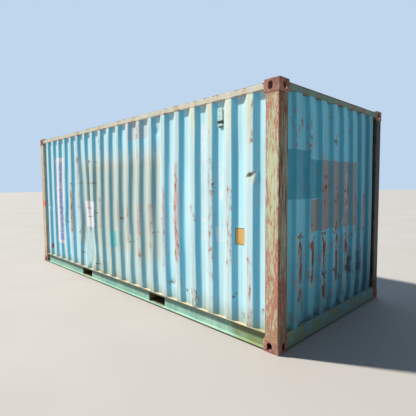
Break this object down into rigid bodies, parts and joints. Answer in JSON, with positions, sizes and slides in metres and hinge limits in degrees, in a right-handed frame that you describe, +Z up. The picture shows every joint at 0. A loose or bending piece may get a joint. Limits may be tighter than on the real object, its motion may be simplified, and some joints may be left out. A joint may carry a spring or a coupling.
{
  "type": "twenty-foot dry freight shipping container",
  "caption": "Steel shipping container with corrugated walls, corner castings, fork pockets and closed double doors with lock rods.",
  "frame": {"origin": "on the ground under the middle of the container, level with the undersides of the bottom corner castings", "axes": "+X to the blind front end, -X to the doors, +Y to the left side and +Z up"},
  "size_m": [6.058, 2.438, 2.591],
  "materials": {
    "frame_paint": "faded pale green and cream paint with rust at the edges",
    "rail_paint": "faded cream paint stained by rust",
    "side_paint": "chalky pale blue paint, scuffed and rust-stained",
    "front_paint": "faded mid-blue paint with overpainted patches and rust runs",
    "roof_paint": "chalky pale blue paint with rust at the ribs",
    "door_paint": "chalky pale blue paint",
    "casting_steel": "cast steel, red-brown rust through worn paint",
    "underframe_paint": "dark bituminous paint, rusty",
    "floor_plywood": "worn plywood",
    "seal_rubber": "weathered black rubber",
    "lock_steel": "dull galvanised steel with rust",
    "vent_plastic": "painted plastic hood"
  },
  "bodies": {
    "root": {"corner_casting_front_right_top": "casting_steel", "corner_casting_front_right_bottom": "casting_steel", "corner_post_front_right": "frame_paint", "corner_casting_front_left_top": "casting_steel", "corner_casting_front_left_bottom": "casting_steel", "corner_post_front_left": "frame_paint", "corner_casting_rear_right_top": "casting_steel", "corner_casting_rear_right_bottom": "casting_steel", "corner_post_rear_right": "frame_paint", "corner_casting_rear_left_top": "casting_steel", "corner_casting_rear_left_bottom": "casting_steel", "corner_post_rear_left": "frame_paint", "top_side_rail_right": "rail_paint", "bottom_side_rail_right": "frame_paint", "side_wall_right": "side_paint", "door_right": "door_paint", "door_hinges_right": "lock_steel", "lock_rod_right_inner": "lock_steel", "lock_rod_right_outer": "lock_steel", "top_side_rail_left": "rail_paint", "bottom_side_rail_left": "frame_paint", "side_wall_left": "side_paint", "door_left": "door_paint", "door_hinges_left": "lock_steel", "lock_rod_left_inner": "lock_steel", "lock_rod_left_outer": "lock_steel", "front_header": "front_paint", "front_sill": "front_paint", "front_wall": "front_paint", "door_header": "rail_paint", "door_sill": "rail_paint", "roof_panel": "roof_paint", "roof_header_plates": "roof_paint", "floor_boards": "floor_plywood", "cross_members_front": "underframe_paint", "cross_members_middle": "underframe_paint", "cross_members_rear": "underframe_paint", "fork_pocket_front": "underframe_paint", "fork_pocket_rear": "underframe_paint", "door_seals": "seal_rubber", "lock_rod_brackets": "lock_steel", "lock_keepers": "lock_steel", "door_handles": "lock_steel", "handle_retainers": "lock_steel", "ventilators": "vent_plastic"}
  },
  "joints": []
}
